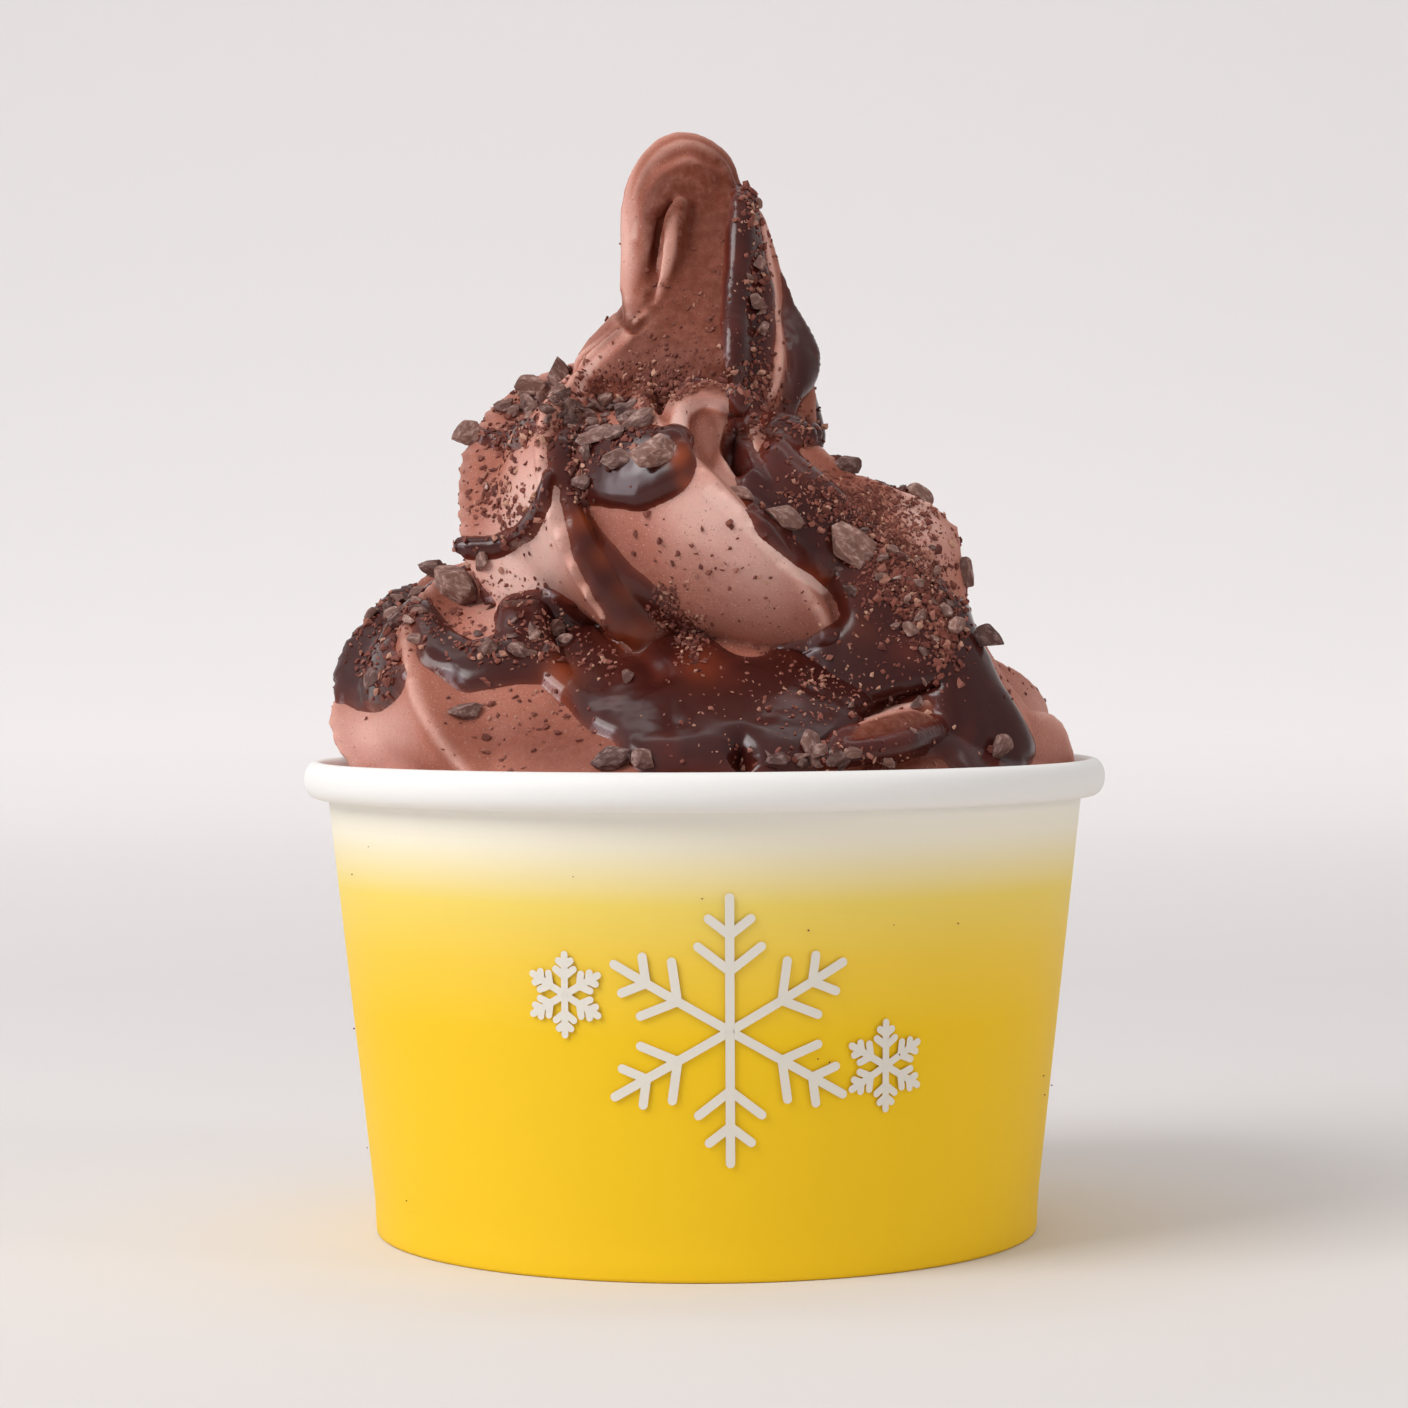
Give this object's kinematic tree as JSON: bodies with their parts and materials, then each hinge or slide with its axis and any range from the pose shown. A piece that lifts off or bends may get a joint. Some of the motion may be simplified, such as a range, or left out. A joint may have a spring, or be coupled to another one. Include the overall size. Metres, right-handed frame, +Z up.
{
  "type": "soft serve cup",
  "caption": "Round paper cup filled with a coiled swirl of chocolate soft serve that ends in a hooked tip, with sauce running down it and cocoa nibs on top.",
  "frame": {"origin": "centre of the cup's foot, on the surface that the cup stands on", "axes": "+Z up along the cup's axis, -Y towards the front of the swirl, +X to the right as seen from the front"},
  "size_m": [0.095, 0.095, 0.1302],
  "materials": {
    "cup_paper": "satin printed paper, white at the top and yellow below",
    "cup_board": "plain white coated paperboard",
    "soft_serve": "matt, smooth and faintly grainy frozen dessert",
    "sauce": "glossy dark chocolate sauce",
    "nibs": "rough roasted cocoa nibs",
    "crumbs": "matt dark cocoa crumbs"
  },
  "bodies": {
    "root": {"cup_sleeve": "cup_paper", "cup_disc": "cup_board", "soft_serve": "soft_serve"}
  },
  "joints": []
}
